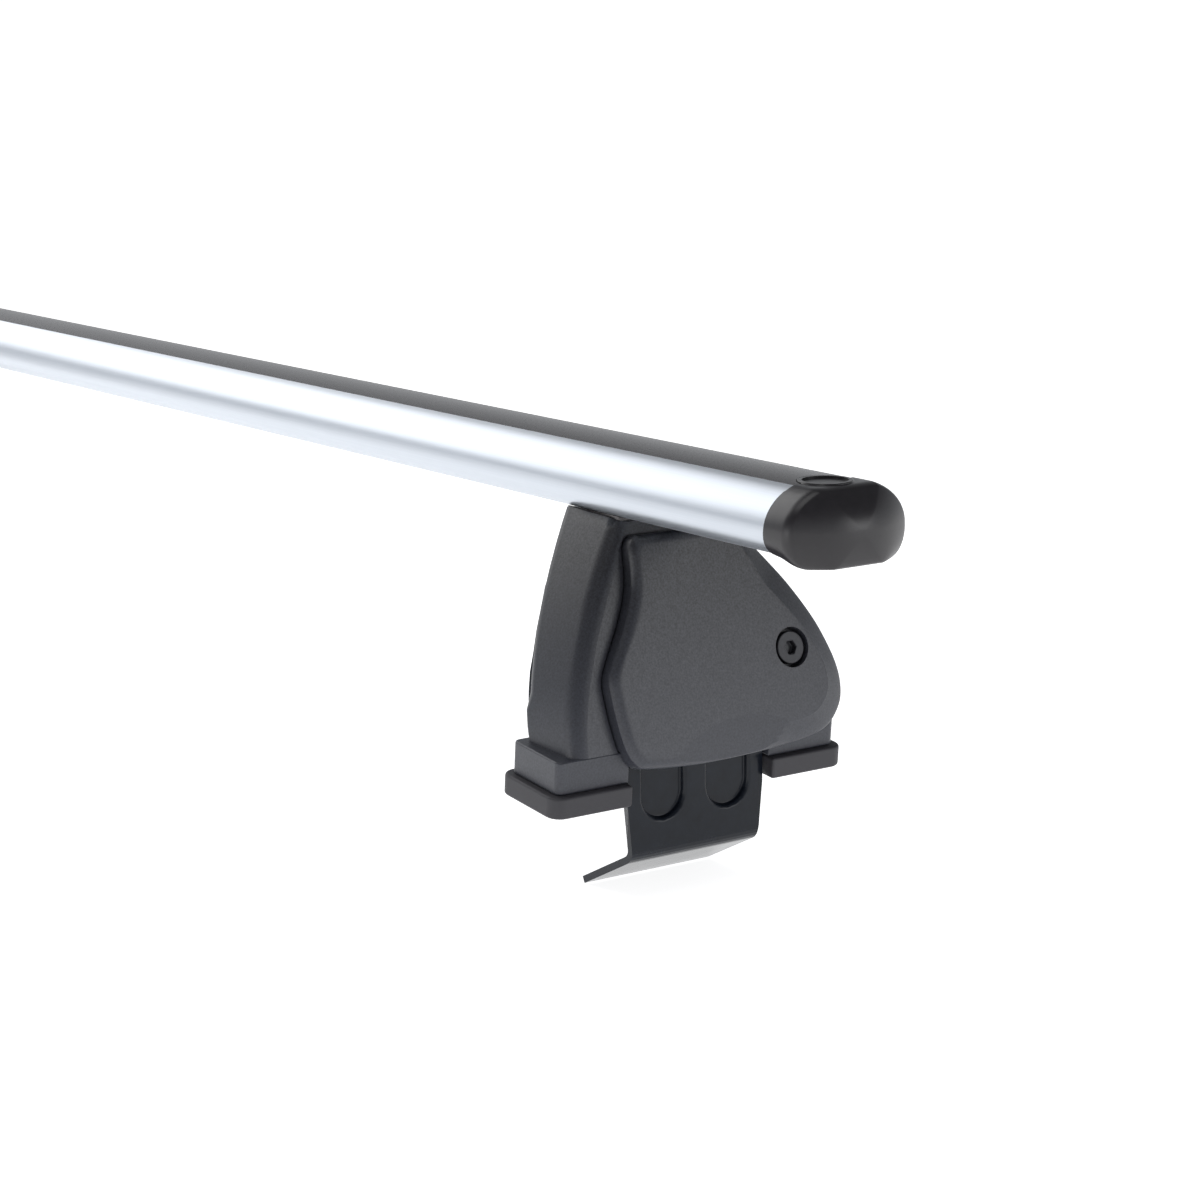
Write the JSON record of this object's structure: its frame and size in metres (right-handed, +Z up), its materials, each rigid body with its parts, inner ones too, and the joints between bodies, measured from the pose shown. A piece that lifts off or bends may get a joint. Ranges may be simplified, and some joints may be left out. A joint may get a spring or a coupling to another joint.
{
  "type": "roof rack crossbar",
  "caption": "Car roof rack crossbar: a hollow aero bar on clamp feet with lift-off covers and screw-drawn steel hooks.",
  "frame": {"origin": "middle of the flat top of the rubber strip, half way along the bar", "axes": "+X along the bar towards the end that the picture shows, +Y across it away from the picture's camera, +Z up"},
  "size_m": [1.2586, 0.1438, 0.1783],
  "materials": {
    "anodised_aluminium": "satin anodised",
    "strip_rubber": "smooth",
    "cap_plastic": "satin",
    "foot_plastic": "fine grained matte",
    "block_plastic": "fine grained matte",
    "pad_rubber": "matte",
    "coated_steel": "glossy dark coating",
    "zinc_steel": "bright zinc",
    "black_steel": "black oxide",
    "brass": "turned"
  },
  "bodies": {
    "bar": {"bar_profile": "anodised_aluminium", "slot_strip": "strip_rubber", "right_end_cap": "cap_plastic", "left_end_cap": "cap_plastic"},
    "right_foot": {"right_foot_housing": "foot_plastic", "right_saddle_liner": "strip_rubber", "right_screw_insert": "brass", "right_t_bolt": "zinc_steel", "right_t_washer": "zinc_steel", "right_t_nut": "zinc_steel", "right_clamp_bracket": "zinc_steel", "right_pad_block": "block_plastic", "right_roof_pad": "pad_rubber"},
    "right_cover": {"right_cover": "foot_plastic"},
    "right_cover_screw": {"right_cover_screw": "black_steel"},
    "right_hook": {"right_clamp_hook": "coated_steel", "right_hook_nut": "zinc_steel"},
    "right_tension_screw": {"right_tension_screw": "zinc_steel"},
    "left_foot": {"left_foot_housing": "foot_plastic", "left_saddle_liner": "strip_rubber", "left_screw_insert": "brass", "left_t_bolt": "zinc_steel", "left_t_washer": "zinc_steel", "left_t_nut": "zinc_steel", "left_clamp_bracket": "zinc_steel", "left_pad_block": "block_plastic", "left_roof_pad": "pad_rubber"},
    "left_cover": {"left_cover": "foot_plastic"},
    "left_cover_screw": {"left_cover_screw": "black_steel"},
    "left_hook": {"left_clamp_hook": "coated_steel", "left_hook_nut": "zinc_steel"},
    "left_tension_screw": {"left_tension_screw": "zinc_steel"}
  },
  "joints": [
    {"name": "right_foot_slide", "type": "slide", "parent": "bar", "child": "right_foot", "axis": [1, 0, 0], "range_m": [-0.15, 0.02]},
    {"name": "right_cover_off", "type": "slide", "parent": "right_foot", "child": "right_cover", "axis": [0.9724, 0, 0.2334], "range_m": [0, 0.02]},
    {"name": "right_cover_screw_turn", "type": "hinge", "parent": "right_cover", "child": "right_cover_screw", "pos_m": [0.51793, 0.0458, -0.08374], "axis": [0.9724, 0, 0.2334], "continuous": true},
    {"name": "right_tension_screw_turn", "type": "hinge", "parent": "right_foot", "child": "right_tension_screw", "pos_m": [0.50486, 0, -0.08737], "axis": [0.4226, 0, 0.9063], "range_deg": [-1756.8, 1324.8]},
    {"name": "right_hook_draw", "type": "slide", "parent": "right_foot", "child": "right_hook", "axis": [0.4226, 0, 0.9063], "range_m": [-0.006, 0.0045]},
    {"name": "left_foot_slide", "type": "slide", "parent": "bar", "child": "left_foot", "axis": [-1, 0, 0], "range_m": [-0.15, 0.02]},
    {"name": "left_cover_off", "type": "slide", "parent": "left_foot", "child": "left_cover", "axis": [-0.9724, 0, 0.2334], "range_m": [0, 0.02]},
    {"name": "left_cover_screw_turn", "type": "hinge", "parent": "left_cover", "child": "left_cover_screw", "pos_m": [-0.51793, 0.0458, -0.08374], "axis": [-0.9724, 0, 0.2334], "continuous": true},
    {"name": "left_tension_screw_turn", "type": "hinge", "parent": "left_foot", "child": "left_tension_screw", "pos_m": [-0.50486, 0, -0.08737], "axis": [-0.4226, 0, 0.9063], "range_deg": [-1756.8, 1324.8]},
    {"name": "left_hook_draw", "type": "slide", "parent": "left_foot", "child": "left_hook", "axis": [-0.4226, 0, 0.9063], "range_m": [-0.006, 0.0045]}
  ],
  "couplings": [
    {"joint": "right_tension_screw_turn", "follows": "right_hook_draw", "rad_per_m": 5026.5},
    {"joint": "left_tension_screw_turn", "follows": "left_hook_draw", "rad_per_m": 5026.5}
  ]
}
